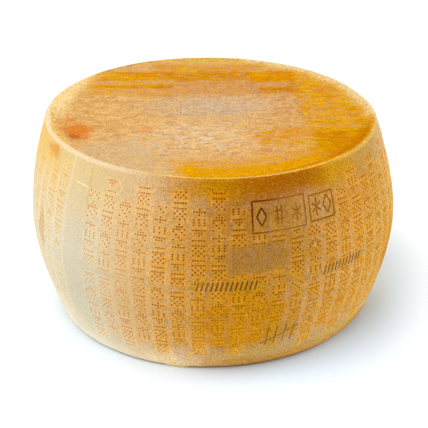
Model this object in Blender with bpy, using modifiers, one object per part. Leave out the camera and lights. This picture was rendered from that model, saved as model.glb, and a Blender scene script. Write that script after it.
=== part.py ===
"""A whole, uncut wheel of hard cheese, standing on its flat lower face.

The wheel is one solid: a drum with bulged sides, rounded edges and a low crest round its
upper face. It is a little oval and its upper face is not quite level, as on any wheel that
has been turned by hand for years. The side carries the marks of its mould: columns pressed
in by a belt of pins, a bare strip where the ends of the belt meet, a framed stamp, a sunken
plaque, two rows of short bars and a scratched tally.

Frame: metres, +Z up, origin at the middle of the lower face. Angles are degrees about +Z
from +X, and the middle of the front is at -90.
"""
import math

import bmesh
import bpy
from mathutils import Vector

MM = 0.001

# Driving sizes of the wheel
HEIGHT = 240.7 * MM
BULGE_RADIUS = 220.0 * MM
FOOT_RADIUS = 188.2 * MM
TOP_RADIUS = 194.3 * MM
BULGE_HEIGHT = 0.498 * HEIGHT
FOOT_CURVE = 1.785
TOP_CURVE = 1.874
FOOT_ROUNDING = 10.4 * MM
TOP_ROUNDING = 4.4 * MM
CREST_WIDTH = 5.0 * MM
CREST_DROP = 0.9 * MM

# How far the wheel is from a true turned shape: shares of the radius and of the height
OVAL_ALONG_X = -0.0026
OVAL_ACROSS = 0.0010
TOP_OVAL_ALONG_X = 0.0068
TOP_OVAL_ACROSS = -0.0145
RISE_ALONG_X = -0.0216 / BULGE_RADIUS
RISE_ALONG_Y = -0.0057 / BULGE_RADIUS

# Columns that the belt of pins pressed into the side
COLUMN_COUNT = 59
FIRST_COLUMN = -130.5
LAST_COLUMN = 214.1
COLUMN_WIDTH = 12.6 * MM
COLUMN_WALL = 1.4 * MM
COLUMN_DEPTH = 0.6 * MM
TALL_SPAN = (38.1 * MM, 226.7 * MM)
SHORT_SPAN = (22.0 * MM, 210.6 * MM)
BELT_HALF = 30
COLUMN_LEAN = math.radians(1.7) / (180.0 * MM)
LEAN_CENTRE = 132.0 * MM

# The bare strip between the ends of the belt stands a little proud
STRIP_PROUD = 0.6 * MM
STRIP_STEPS = 4
STRIP_SPAN = (20.0 * MM, 230.0 * MM)

# A smooth sunken plaque
PLAQUE_ANGLES = (-85.6, -69.0)
PLAQUE_SPAN = (135.0 * MM, 169.0 * MM)
PLAQUE_DEPTH = 1.2 * MM

# A stamp in two frames, with five plain devices
STROKE_RADIUS = 1.05 * MM
FRAME_LEFT = (-78.9, -61.9, 181.0 * MM, 215.0 * MM)
FRAME_RIGHT = (-60.2, -51.4, 183.0 * MM, 211.5 * MM)
STAMP_CLEAR = (-80.0, -50.4, 178.0 * MM)
DEVICE_HEIGHT = 20.0 * MM
DEVICE_WIDTH = 11.0 * MM
DEVICE_MIDDLE = 198.0 * MM
LATTICE_INSET = 0.22
FRAME_STEP = 3.0

# Two rows of short slanting bars, and a tally scratched below the columns
BAR_ROWS = ((-95.4, 13), (-56.0, 11))
BAR_PITCH = 5.4 * MM
BAR_SLANT = 3.0 * MM
BAR_SPAN = (116.0 * MM, 127.0 * MM)
TALLY_ANGLES = (-73.4, -70.6, -67.6, -64.8)
TALLY_SLANT = 0.5
TALLY_SPAN = (33.0 * MM, 60.0 * MM)
TALLY_CLEAR = (-75.0, -61.0, 66.0 * MM)
TALLY_CROSS = (-75.2, -62.8, 36.0 * MM, 55.0 * MM)

# Fineness of the turned body
ARC_STEPS = 3
SIDE_LEVELS = (90.0 * MM, 113.0 * MM, 152.0 * MM)
STEPS_PER_COLUMN = 4
TURN_STEPS = COLUMN_COUNT * STEPS_PER_COLUMN + STRIP_STEPS
MERGE = 0.00005
RIND_COLOUR = (0.72, 0.45, 0.16, 1.0)
RIND_ROUGHNESS = 0.55


def clear_scene():
    """Remove whatever the file holds."""
    for thing in list(bpy.data.objects):
        bpy.data.objects.remove(thing, do_unlink=True)


def new_collection(name):
    """A collection of the scene with this name."""
    collection = bpy.data.collections.new(name)
    bpy.context.scene.collection.children.link(collection)
    return collection


def rind_material():
    """Oiled golden rind."""
    material = bpy.data.materials.new("rind")
    material.use_nodes = True
    shader = material.node_tree.nodes["Principled BSDF"]
    shader.inputs["Base Color"].default_value = RIND_COLOUR
    shader.inputs["Roughness"].default_value = RIND_ROUGHNESS
    shader.inputs["Metallic"].default_value = 0.0
    return material


def side_radius(z):
    """Radius of the turned side at height z."""
    if z < BULGE_HEIGHT:
        share = (BULGE_HEIGHT - z) / BULGE_HEIGHT
        return BULGE_RADIUS - (BULGE_RADIUS - FOOT_RADIUS) * share ** FOOT_CURVE
    share = (z - BULGE_HEIGHT) / (HEIGHT - BULGE_HEIGHT)
    return BULGE_RADIUS - (BULGE_RADIUS - TOP_RADIUS) * share ** TOP_CURVE


def oval(angle, z):
    """Factor on the radius that makes the wheel a little oval, more so near the top."""
    lift = (z / HEIGHT) ** 2
    along_x = OVAL_ALONG_X + lift * TOP_OVAL_ALONG_X
    across = OVAL_ACROSS + lift * TOP_OVAL_ACROSS
    return 1.0 + along_x * math.cos(2 * angle) + across * math.sin(2 * angle)


def settled(angle, radius, z):
    """Where a point of the turned wheel lies on the real, uneven one."""
    leaning = angle + COLUMN_LEAN * (z - LEAN_CENTRE)
    reach = radius * oval(leaning, z)
    x = reach * math.cos(leaning)
    y = reach * math.sin(leaning)
    return Vector((x, y, z * (1.0 + RISE_ALONG_X * x + RISE_ALONG_Y * y)))


def side_point(degrees, z, inward):
    """A point on the wheel's side, or a little inside it."""
    return settled(math.radians(degrees), side_radius(z) - inward, z)


def column_angle(index):
    """Middle of a column, in degrees."""
    pitch = (LAST_COLUMN - FIRST_COLUMN) / (COLUMN_COUNT - 1)
    return FIRST_COLUMN + index * pitch


def column_spans(index):
    """Stretches of height that one column covers, clear of the stamp, plaque and tally."""
    tall = (index % 2 == 1) == (index < BELT_HALF)
    low, high = TALL_SPAN if tall else SHORT_SPAN
    middle = column_angle(index)
    if STAMP_CLEAR[0] < middle < STAMP_CLEAR[1]:
        high = STAMP_CLEAR[2]
    if TALLY_CLEAR[0] < middle < TALLY_CLEAR[1]:
        low = TALLY_CLEAR[2]
    return low, high


def station(step):
    """Angle in degrees of one step of the turned mesh, and the column it is sunk in, if any."""
    index, place = divmod(step, STEPS_PER_COLUMN)
    half = math.degrees(COLUMN_WIDTH / 2 / BULGE_RADIUS)
    wall = math.degrees(COLUMN_WALL / BULGE_RADIUS)
    if index < COLUMN_COUNT:
        offset = (-half - wall, -half, half, half + wall)[place]
        return column_angle(index) + offset, index if place in (1, 2) else None
    start = LAST_COLUMN + half + wall
    end = FIRST_COLUMN + 360.0 - half - wall
    return start + (end - start) * (place + 1) / (STRIP_STEPS + 1), None


def relief(step, z):
    """How far the rind at this place lies inside the turned side."""
    degrees, column = station(step)
    if PLAQUE_ANGLES[0] < degrees < PLAQUE_ANGLES[1] and PLAQUE_SPAN[0] <= z <= PLAQUE_SPAN[1]:
        return PLAQUE_DEPTH
    if column is not None:
        low, high = column_spans(column)
        return COLUMN_DEPTH if low <= z <= high else 0.0
    on_strip = step >= COLUMN_COUNT * STEPS_PER_COLUMN
    return -STRIP_PROUD if on_strip and STRIP_SPAN[0] <= z <= STRIP_SPAN[1] else 0.0


def side_levels():
    """Heights of the rows of the side, from the top down."""
    marks = [*TALL_SPAN, *SHORT_SPAN, *PLAQUE_SPAN, *SIDE_LEVELS, STAMP_CLEAR[2], TALLY_CLEAR[2]]
    return sorted(marks, reverse=True)


def profile_points():
    """Half outline of the wheel as (radius, height), from the upper face down to the lower."""
    top_arc_radius = side_radius(HEIGHT - TOP_ROUNDING) - TOP_ROUNDING
    foot_arc_radius = side_radius(FOOT_ROUNDING) - FOOT_ROUNDING
    points = [(top_arc_radius - CREST_WIDTH, HEIGHT - CREST_DROP)]
    for i in range(ARC_STEPS + 1):
        turn = math.pi / 2 * i / ARC_STEPS
        points.append((top_arc_radius + TOP_ROUNDING * math.sin(turn),
                       HEIGHT - TOP_ROUNDING * (1 - math.cos(turn))))
    points += [(side_radius(z), z) for z in side_levels()]
    for i in range(ARC_STEPS + 1):
        turn = math.pi / 2 * i / ARC_STEPS
        points.append((foot_arc_radius + FOOT_ROUNDING * math.cos(turn),
                       FOOT_ROUNDING * (1 - math.sin(turn))))
    return points


def profile_object():
    """The half outline as an object, with a Screw that turns it all the way round."""
    points = [(radius, 0.0, z) for radius, z in profile_points()]
    edges = [(i, i + 1) for i in range(len(points) - 1)]
    mesh = bpy.data.meshes.new("wheel_profile")
    mesh.from_pydata(points, edges, [])
    profile = bpy.data.objects.new("wheel_profile", mesh)
    bpy.context.scene.collection.objects.link(profile)
    screw = profile.modifiers.new("turn", "SCREW")
    screw.steps = screw.render_steps = TURN_STEPS
    screw.use_merge_vertices = True
    screw.merge_threshold = MERGE
    return profile


def evaluated_mesh(thing):
    """The mesh of an object with its modifiers, or of a curve, and the object removed."""
    bpy.context.view_layer.update()
    graph = bpy.context.evaluated_depsgraph_get()
    mesh = bpy.data.meshes.new_from_object(thing.evaluated_get(graph), depsgraph=graph)
    bpy.data.objects.remove(thing, do_unlink=True)
    return mesh


def lay_on_wheel(vertex):
    """Move one vertex of the turned mesh to its place on the uneven, marked wheel."""
    radius = math.hypot(vertex.co.x, vertex.co.y)
    turned = math.degrees(math.atan2(vertex.co.y, vertex.co.x)) % 360.0
    step = round(turned * TURN_STEPS / 360.0) % TURN_STEPS
    z = vertex.co.z
    angle = math.radians(station(step)[0])
    vertex.co = settled(angle, radius - relief(step, z), z)


def wheel_body(collection, material):
    """The turned wheel, closed by its two faces and settled into its uneven shape."""
    mesh = evaluated_mesh(profile_object())
    mesh.name = "cheese_wheel"
    shape = bmesh.new()
    shape.from_mesh(mesh)
    rims = [edge for edge in shape.edges if edge.is_boundary]
    bmesh.ops.holes_fill(shape, edges=rims, sides=0)
    for vertex in shape.verts:
        lay_on_wheel(vertex)
    bmesh.ops.recalc_face_normals(shape, faces=shape.faces)
    shape.to_mesh(mesh)
    shape.free()
    mesh.materials.clear()
    mesh.materials.append(material)
    mesh.shade_smooth()
    mesh.set_sharp_from_angle(angle=math.radians(35))
    body = bpy.data.objects.new("cheese_wheel", mesh)
    collection.objects.link(body)
    return body


def pressed_line(name, places, collection, closed=False, inward=0.0):
    """A round bar that lies along the side through (degrees, height) places, to cut a groove."""
    curve = bpy.data.curves.new(name, "CURVE")
    curve.dimensions = "3D"
    curve.bevel_depth = STROKE_RADIUS
    curve.bevel_resolution = 1
    curve.use_fill_caps = True
    line = curve.splines.new("POLY")
    line.points.add(len(places) - 1)
    for point, (degrees, z) in zip(line.points, places):
        point.co = (*side_point(degrees, z, inward), 1.0)
    line.use_cyclic_u = closed
    guide = bpy.data.objects.new(name, curve)
    bpy.context.scene.collection.objects.link(guide)
    mesh = evaluated_mesh(guide)
    shape = bmesh.new()
    shape.from_mesh(mesh)
    bmesh.ops.remove_doubles(shape, verts=shape.verts, dist=MERGE)
    bmesh.ops.recalc_face_normals(shape, faces=shape.faces)
    shape.to_mesh(mesh)
    shape.free()
    cutter = bpy.data.objects.new(name, mesh)
    cutter.hide_render = True
    cutter.display_type = "WIRE"
    collection.objects.link(cutter)


def along(start, end, step):
    """Places from one to the other, both included, no further apart than a step in degrees."""
    count = max(1, math.ceil(abs(end[0] - start[0]) / step))
    return [(start[0] + (end[0] - start[0]) * i / count, start[1] + (end[1] - start[1]) * i / count)
            for i in range(count + 1)]


def frame(name, bounds, collection):
    """The border of one half of the stamp."""
    left, right, low, high = bounds
    corners = [(left, low), (right, low), (right, high), (left, high)]
    places = []
    for start, end in zip(corners, corners[1:] + corners[:1]):
        places += along(start, end, FRAME_STEP)[:-1]
    pressed_line(name, places, collection, closed=True)


def device_place(middle, across, up):
    """A place in a device, given as shares of its half width and half height."""
    degrees = middle + math.degrees(across * DEVICE_WIDTH / 2 / side_radius(DEVICE_MIDDLE))
    return degrees, DEVICE_MIDDLE + up * DEVICE_HEIGHT / 2


def lozenge(name, middle, collection):
    """A tall diamond."""
    corners = [(0, 1), (1, 0), (0, -1), (-1, 0)]
    pressed_line(name, [device_place(middle, *corner) for corner in corners], collection, closed=True)


def lattice(name, middle, collection):
    """Two uprights crossed by two level bars."""
    inset = LATTICE_INSET * 2
    for side in (-1, 1):
        upright = [device_place(middle, side * inset, end) for end in (-1, 1)]
        pressed_line(f"{name}_upright_{side}", upright, collection)
        bar = [device_place(middle, end, side * inset) for end in (-1, 1)]
        pressed_line(f"{name}_bar_{side}", bar, collection)


def star(name, middle, collection):
    """Three bars crossed at their middles."""
    for i, (across, up) in enumerate(((0, 1), (1, 0.5), (1, -0.5))):
        ends = [device_place(middle, across * end, up * end) for end in (-1, 1)]
        pressed_line(f"{name}_ray_{i}", ends, collection)


def stamp(collection):
    """Two frames and their five devices."""
    frame("frame_left", FRAME_LEFT, collection)
    frame("frame_right", FRAME_RIGHT, collection)
    left_width = FRAME_LEFT[1] - FRAME_LEFT[0]
    right_width = FRAME_RIGHT[1] - FRAME_RIGHT[0]
    lozenge("device_0", FRAME_LEFT[0] + left_width / 6, collection)
    lattice("device_1", FRAME_LEFT[0] + left_width / 2, collection)
    star("device_2", FRAME_LEFT[1] - left_width / 6, collection)
    star("device_3", FRAME_RIGHT[0] + right_width * 0.27, collection)
    lozenge("device_4", FRAME_RIGHT[1] - right_width * 0.27, collection)


def bar_rows(collection):
    """Rows of short slanting bars round the middle of the wheel."""
    pitch = math.degrees(BAR_PITCH / BULGE_RADIUS)
    slant = math.degrees(BAR_SLANT / BULGE_RADIUS)
    for row, (start, count) in enumerate(BAR_ROWS):
        for i in range(count):
            foot = start + i * pitch
            places = [(foot, BAR_SPAN[0]), (foot + slant, BAR_SPAN[1])]
            pressed_line(f"bar_{row}_{i}", places, collection, inward=COLUMN_DEPTH)


def tally(collection):
    """Four strokes and one across them, scratched by hand."""
    low, high = TALLY_SPAN
    for i, degrees in enumerate(TALLY_ANGLES):
        places = [(degrees, low), (degrees + TALLY_SLANT, high)]
        pressed_line(f"tally_{i}", places, collection)
    left, right, foot, head = TALLY_CROSS
    pressed_line("tally_cross", along((left, foot), (right, head), FRAME_STEP), collection)


def main():
    """Build the wheel and press its marks into it."""
    clear_scene()
    parts = new_collection("cheese_wheel")
    cutters = new_collection("pressed_lines")
    body = wheel_body(parts, rind_material())
    stamp(cutters)
    bar_rows(cutters)
    tally(cutters)
    press = body.modifiers.new("pressed_lines", "BOOLEAN")
    press.operation = "DIFFERENCE"
    press.operand_type = "COLLECTION"
    press.collection = cutters
    press.solver = "EXACT"


main()
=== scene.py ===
import math
import random

import bmesh
import bpy
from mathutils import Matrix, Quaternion, Vector


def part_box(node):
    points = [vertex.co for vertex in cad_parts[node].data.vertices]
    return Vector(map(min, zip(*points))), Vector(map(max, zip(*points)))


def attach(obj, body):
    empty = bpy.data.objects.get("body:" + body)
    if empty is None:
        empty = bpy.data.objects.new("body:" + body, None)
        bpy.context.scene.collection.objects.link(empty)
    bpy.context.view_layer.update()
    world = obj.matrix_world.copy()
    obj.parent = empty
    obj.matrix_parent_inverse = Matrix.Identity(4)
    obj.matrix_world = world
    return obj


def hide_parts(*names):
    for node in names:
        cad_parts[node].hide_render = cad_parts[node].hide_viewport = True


MM = 0.001

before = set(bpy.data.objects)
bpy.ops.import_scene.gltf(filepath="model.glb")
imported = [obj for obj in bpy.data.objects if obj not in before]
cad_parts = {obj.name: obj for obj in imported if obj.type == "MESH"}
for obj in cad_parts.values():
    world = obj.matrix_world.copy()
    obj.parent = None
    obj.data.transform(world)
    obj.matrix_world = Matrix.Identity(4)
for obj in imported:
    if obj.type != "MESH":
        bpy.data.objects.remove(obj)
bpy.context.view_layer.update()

# Sizes of the wheel, in metres and degrees. Angles are about +Z from +X; the front is at -90.
HEIGHT = 240.7 * MM
BULGE_RADIUS = (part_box("cheese_wheel")[1].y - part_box("cheese_wheel")[0].y) / 2
FOOT_RADIUS = 188.2 * MM
TOP_RADIUS = 194.3 * MM
BULGE_HEIGHT = 0.498 * HEIGHT
FOOT_CURVE = 1.785
TOP_CURVE = 1.874
FOOT_ROUNDING = 10.4 * MM
TOP_ROUNDING = 7.4 * MM
CREST_WIDTH = 5 * MM
CREST_DROP = 0.9 * MM
ARC_STEPS = 5

# How the mesh is made; the side's faces are those that look up or down less than SIDE_LOOKS_UP
GRID_SPAN = 90
FAN_RIM = 30 * MM
MERGE_DISTANCE = 0.05 * MM
FLAT_FOOT = 1.5 * MM
SIDE_LOOKS_UP = 0.9
SHARP_ANGLE = math.radians(35)

# The wheel's unevenness: shares of the radius, rise of the upper face, lean of the columns, and
# swells by name, width and height
OVAL_ALONG_X = -0.0026
OVAL_ACROSS = 0.0010
TOP_OVAL_ALONG_X = 0.0068
TOP_OVAL_ACROSS = -0.0145
RISE_ALONG_X = -0.0216 / BULGE_RADIUS
RISE_ALONG_Y = -0.0057 / BULGE_RADIUS
COLUMN_LEAN = math.radians(1.7) / (180 * MM)
LEAN_CENTRE = 132 * MM
SWELLS = (("broad_swell", 75 * MM, 2.2 * MM), ("small_swell", 24 * MM, 0.8 * MM),
          ("dimples", 9 * MM, 0.35 * MM))

# Columns of pin marks, and the cells of the rind that the pins fall in
COLUMN_COUNT = 59
FIRST_COLUMN = -130.5
LAST_COLUMN = 214.1
COLUMN_PITCH = (LAST_COLUMN - FIRST_COLUMN) / (COLUMN_COUNT - 1)
BELT_HALF = 30
PINS_ACROSS = 5
PIN_PITCH = math.degrees(3.15 * MM / BULGE_RADIUS)
PIN_RISE = 2.8 * MM
PIN_FOOT = 22.2 * MM
PIN_ROWS = 73
TALL_ROWS = range(6, 73)
SHORT_ROWS = range(0, 67)
GAP_ROWS = range(34, 36)
MOTIF_STEP = 4
STRIP_STEPS = 4
UPPER_ROWS = 3
LOWER_ROWS = 4
PINS_MISSED = 0.03
PIN_SEED = 7

# Motifs of pins, row by row upwards: a pin fell at each o. The columns take them in turn
CHECKER = ("o.o.o", ".o.o.", "o.o.o", ".o.o.")
RUNGS = ("ooooo", ".....", "ooooo", ".....")
WEDGE = ("..o..", ".ooo.", "ooooo", ".....")
POSTS = ("o.o.o", "o.o.o", "o.o.o", ".....")
CROSS = ("..o..", "ooooo", "..o..", ".....")
SLANTS = ("o..o.", "..o..", ".o..o", "o..o.")
WEDGE_BACK = ("ooooo", ".ooo.", "..o..", ".....")
MOTIFS = (CHECKER, RUNGS, WEDGE, POSTS, CROSS, SLANTS, WEDGE_BACK, CHECKER, RUNGS)

# Kinds of pit: random draw from and to, width of the wall, depth. Then the share of a whole cell
# that a pit needs, how pressed its edge and rim are for the looks, and how much they glow
PIT_KINDS = ((0.0, 0.4, 0.90 * MM, 0.80 * MM), (0.4, 0.8, 0.83 * MM, 0.95 * MM),
             (0.8, 1.0, 0.98 * MM, 0.65 * MM))
WHOLE_CELL = 0.7
PIT_EDGE = 0.7
PIT_RIM = 0.3
PIT_GLOW = 0.20

# Sunken and raised areas; boxes on the side are (left, right, low, high)
COLUMN_SINK = 0.45 * MM
STRIP_RISE = 0.6 * MM
STRIP_ANGLES = (LAST_COLUMN - 360.0 + COLUMN_PITCH - PINS_ACROSS / 2 * PIN_PITCH,
                FIRST_COLUMN - PINS_ACROSS / 2 * PIN_PITCH)
STRIP = (*STRIP_ANGLES, 20 * MM, 230 * MM)
PLAQUE = (-85.6, -69.0, 135 * MM, 169 * MM)
PLAQUE_DEPTH = 1.2 * MM
PLAQUE_BORDER = 1.2 * MM

# A stamp in two frames, two rows of bars and a tally
STROKE_RADIUS = 1.05 * MM
STROKE_SIDES = 8
FRAME_LEFT = (-78.9, -61.9, 181 * MM, 215 * MM)
FRAME_RIGHT = (-60.2, -51.4, 183 * MM, 211.5 * MM)
STAMP_CLEAR = (-80.0, -50.4, 178 * MM, HEIGHT)
DEVICE_HEIGHT = 20 * MM
DEVICE_WIDTH = 11 * MM
DEVICE_MIDDLE = 198 * MM
LATTICE_INSET = 0.44
PAIR_INSET = 0.27
BAR_ROWS = ((-95.4, 13), (-56.0, 11))
BAR_PITCH = math.degrees(5.4 * MM / BULGE_RADIUS)
BAR_SLANT = math.degrees(3 * MM / BULGE_RADIUS)
BAR_SPAN = (116 * MM, 127 * MM)
TALLY_ANGLES = (-73.4, -70.6, -67.6, -64.8)
TALLY_SLANT = 0.5
TALLY_SPAN = (33 * MM, 60 * MM)
TALLY_CLEAR = (-75.0, -61.0, 0, 66 * MM)
TALLY_CROSS = (-75.2, -62.8, 36 * MM, 55 * MM)

# Material slot of the pressed lines; the rind's is the one before it
PRESSED_LINE = 1

# The photograph's view: distances in metres, angles in radians
PHOTO_WIDTH = 428
CAMERA_PLACE = Vector((0.0, -1.7062, 0.9336))
CAMERA_PITCH = math.radians(25.908)
CAMERA_YAW = 0.0005
CAMERA_ROLL = -0.0242
FOCAL_PIXELS = 1541.0
SENSOR = 36.0

# The studio: sizes and distances in metres, and the room's strength
LIGHT_DISTANCE = 2.2
LIGHT_SIZE = 1.6
ROOM_LIGHT = 0.48
FLOOR_SIZE = 12.0


def side_radius(z):
    """Radius of the turned side at height z."""
    if z < BULGE_HEIGHT:
        share = (BULGE_HEIGHT - z) / BULGE_HEIGHT
        return BULGE_RADIUS - (BULGE_RADIUS - FOOT_RADIUS) * share ** FOOT_CURVE
    share = (z - BULGE_HEIGHT) / (HEIGHT - BULGE_HEIGHT)
    return BULGE_RADIUS - (BULGE_RADIUS - TOP_RADIUS) * share ** TOP_CURVE


def side_place(degrees, z, inward=0.0):
    """A point on the turned side, or a little inside it."""
    radius = side_radius(z) - inward
    return Vector((radius * math.cos(math.radians(degrees)), radius * math.sin(math.radians(degrees)), z))


def settled(place):
    """Where a point of the turned wheel lies on the real, uneven one."""
    angle = math.atan2(place.y, place.x) + COLUMN_LEAN * (place.z - LEAN_CENTRE)
    lift = (place.z / HEIGHT) ** 2
    along_x = OVAL_ALONG_X + lift * TOP_OVAL_ALONG_X
    across = OVAL_ACROSS + lift * TOP_OVAL_ACROSS
    oval = 1.0 + along_x * math.cos(2 * angle) + across * math.sin(2 * angle)
    reach = math.hypot(place.x, place.y) * oval
    x = reach * math.cos(angle)
    y = reach * math.sin(angle)
    return Vector((x, y, place.z * (1.0 + RISE_ALONG_X * x + RISE_ALONG_Y * y)))


def spread(start, end, steps):
    """Values from start to end in equal steps, without start."""
    return [start + (end - start) * (i + 1) / steps for i in range(steps)]


def half_outline():
    """Radius and height of each ring of the rind, from the edge of the upper face down."""
    crown = side_radius(HEIGHT - TOP_ROUNDING) - TOP_ROUNDING
    base = side_radius(FOOT_ROUNDING) - FOOT_ROUNDING
    rings = [(crown - CREST_WIDTH, HEIGHT - CREST_DROP), (crown - CREST_WIDTH / 2, HEIGHT - CREST_DROP / 3)]
    for i in range(ARC_STEPS + 1):
        turn = math.pi / 2 * i / ARC_STEPS
        rings.append((crown + TOP_ROUNDING * math.sin(turn), HEIGHT - TOP_ROUNDING * (1 - math.cos(turn))))
    pin_top = PIN_FOOT + PIN_ROWS * PIN_RISE
    heights = spread(HEIGHT - TOP_ROUNDING, pin_top, UPPER_ROWS)
    heights += spread(pin_top, PIN_FOOT, PIN_ROWS)
    heights += spread(PIN_FOOT, FOOT_ROUNDING, LOWER_ROWS)
    rings += [(side_radius(z), z) for z in heights]
    for i in range(1, ARC_STEPS + 1):
        turn = math.pi / 2 * i / ARC_STEPS
        rings.append((base + FOOT_ROUNDING * math.cos(turn), FOOT_ROUNDING * (1 - math.sin(turn))))
    return rings


def edit(kind="FACE"):
    """Open the active mesh in edit mode with nothing selected."""
    bpy.ops.object.mode_set(mode="EDIT")
    bpy.ops.mesh.select_mode(type=kind)
    bpy.ops.mesh.select_all(action="DESELECT")


def done():
    """Back to object mode."""
    bpy.ops.object.mode_set(mode="OBJECT")


def only(thing):
    """Make one object the selected and active one."""
    bpy.ops.object.select_all(action="DESELECT")
    thing.select_set(True)
    bpy.context.view_layer.objects.active = thing


def pick_faces(thing, wanted):
    """Select the side's faces whose angle in degrees and height are wanted, in edit mode."""
    shape = bmesh.from_edit_mesh(thing.data)
    for face in shape.faces:
        middle = face.calc_center_median()
        angle = math.degrees(math.atan2(middle.y, middle.x))
        face.select_set(abs(face.normal.z) < SIDE_LOOKS_UP and wanted(angle, middle.z, face))
    bmesh.update_edit_mesh(thing.data)


def pick_rim(thing, upper):
    """Select the open edge of the upper or the lower face, in edit mode."""
    shape = bmesh.from_edit_mesh(thing.data)
    for edge in shape.edges:
        high = edge.verts[0].co.z > HEIGHT / 2
        edge.select_set(edge.is_boundary and high == upper)
    bmesh.update_edit_mesh(thing.data)


def draw_outline():
    """Draw the half outline as a chain of edges, in edit mode."""
    rings = half_outline()
    bpy.ops.object.select_all(action="DESELECT")
    bpy.ops.mesh.primitive_plane_add(size=PIN_RISE)
    thing = bpy.context.object
    thing.name = "rind"
    edit("VERT")
    bpy.ops.mesh.select_all(action="SELECT")
    bpy.ops.mesh.merge(type="CENTER")
    bpy.ops.transform.translate(value=(rings[0][0], 0, rings[0][1]))
    for above, below in zip(rings, rings[1:]):
        step = (below[0] - above[0], 0, below[1] - above[1])
        bpy.ops.mesh.extrude_region_move(TRANSFORM_OT_translate={"value": step})
    return thing


def turn_outline():
    """Spin the half outline round, one column of pins and one gap at a time."""
    thing = draw_outline()
    bpy.ops.mesh.select_all(action="SELECT")
    pins = math.radians(PINS_ACROSS * PIN_PITCH)
    gap = math.radians(COLUMN_PITCH) - pins
    for _ in range(COLUMN_COUNT):
        bpy.ops.mesh.spin(steps=PINS_ACROSS, angle=-pins, center=(0, 0, 0), axis=(0, 0, 1))
        bpy.ops.mesh.spin(steps=1, angle=-gap, center=(0, 0, 0), axis=(0, 0, 1))
    rest = math.tau - COLUMN_COUNT * math.radians(COLUMN_PITCH)
    bpy.ops.mesh.spin(steps=STRIP_STEPS, angle=-rest, center=(0, 0, 0), axis=(0, 0, 1))
    bpy.ops.mesh.select_all(action="SELECT")
    bpy.ops.mesh.remove_doubles(threshold=MERGE_DISTANCE)
    done()
    thing.rotation_euler.z = math.radians(FIRST_COLUMN - PINS_ACROSS / 2 * PIN_PITCH)
    bpy.ops.object.transform_apply(rotation=True)
    return thing


def close_faces(thing):
    """Close the upper face with a fine grid, and the lower one, which is never seen, with a fan."""
    edit("EDGE")
    pick_rim(thing, True)
    bpy.ops.mesh.fill_grid(span=GRID_SPAN)
    bpy.ops.mesh.select_all(action="DESELECT")
    pick_rim(thing, False)
    bpy.ops.mesh.edge_face_add()
    bpy.ops.mesh.select_mode(type="FACE")
    bpy.ops.mesh.inset(thickness=FAN_RIM, depth=0)
    bpy.ops.mesh.poke()
    bpy.ops.mesh.select_all(action="SELECT")
    bpy.ops.mesh.normals_make_consistent(inside=False)
    done()


def swell(thing, name, width, height):
    """Swells and hollows of one width over the whole wheel."""
    cloud = bpy.data.textures.new(name, "CLOUDS")
    cloud.noise_scale = width
    wear = thing.modifiers.new(name, "DISPLACE")
    wear.texture = cloud
    wear.texture_coords = "LOCAL"
    wear.mid_level = 0.5
    wear.strength = height
    bpy.ops.object.modifier_apply(modifier=name)


def weather(thing):
    """Wear the turned wheel, and keep the face that it stands on flat."""
    for name, width, height in SWELLS:
        swell(thing, name, width, height)
    edit("VERT")
    shape = bmesh.from_edit_mesh(thing.data)
    for vertex in shape.verts:
        vertex.select_set(vertex.co.z < FLAT_FOOT)
    bmesh.update_edit_mesh(thing.data)
    bpy.ops.transform.resize(value=(1, 1, 0), center_override=(0, 0, 0))
    done()


def column_of(degrees):
    """The nearest column to an angle, and how far its middle is, in degrees."""
    turned = (degrees - FIRST_COLUMN + COLUMN_PITCH / 2) % 360.0 - COLUMN_PITCH / 2
    index = round(turned / COLUMN_PITCH)
    return index, turned - index * COLUMN_PITCH


def column_rows(index):
    """Rows of pins that one column covers."""
    tall = (index % 2 == 1) == (index < BELT_HALF)
    return TALL_ROWS if tall else SHORT_ROWS


def within(box, degrees, z):
    """Whether a place on the side lies in a box."""
    left, right, low, high = box
    return left < degrees < right and low < z < high


def clear_of_marks(degrees, z):
    """Whether pins were pressed here, away from the stamp, the plaque and the tally."""
    return not any(within(box, degrees, z) for box in (STAMP_CLEAR, PLAQUE, TALLY_CLEAR))


def sink_areas(thing):
    """Press the columns and the plaque in, and raise the bare strip where the belt's ends meet."""
    half = PINS_ACROSS / 2 * PIN_PITCH

    def in_column(angle, z, face):
        index, offset = column_of(angle)
        rows = column_rows(index)
        low = PIN_FOOT + rows.start * PIN_RISE
        high = PIN_FOOT + rows.stop * PIN_RISE
        inside = index < COLUMN_COUNT and abs(offset) < half
        return inside and low < z < high and clear_of_marks(angle, z)

    def on_strip(angle, z, face):
        return within(STRIP, angle, z)

    def in_plaque(angle, z, face):
        return within(PLAQUE, angle, z)

    edit()
    pick_faces(thing, in_column)
    bpy.ops.transform.shrink_fatten(value=-COLUMN_SINK)
    pick_faces(thing, on_strip)
    bpy.ops.transform.shrink_fatten(value=STRIP_RISE)
    pick_faces(thing, in_plaque)
    bpy.ops.mesh.inset(thickness=PLAQUE_BORDER, depth=0)
    bpy.ops.transform.shrink_fatten(value=-PLAQUE_DEPTH)
    done()


def bar_through(places):
    """A round bar through points on the side: a disc extruded from point to point."""
    facing = (places[-1] - places[0]).to_track_quat("Z", "Y").to_euler()
    bpy.ops.object.select_all(action="DESELECT")
    bpy.ops.mesh.primitive_circle_add(vertices=STROKE_SIDES, radius=STROKE_RADIUS, fill_type="NGON",
                                      location=places[0], rotation=facing)
    bar = bpy.context.object
    edit()
    bpy.ops.mesh.select_all(action="SELECT")
    for start, end in zip(places, places[1:]):
        bpy.ops.mesh.extrude_region_move(TRANSFORM_OT_translate={"value": end - start})
    bpy.ops.mesh.select_all(action="SELECT")
    bpy.ops.mesh.normals_make_consistent(inside=False)
    done()
    bpy.ops.object.transform_apply(location=True, rotation=True)
    return bar


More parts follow.
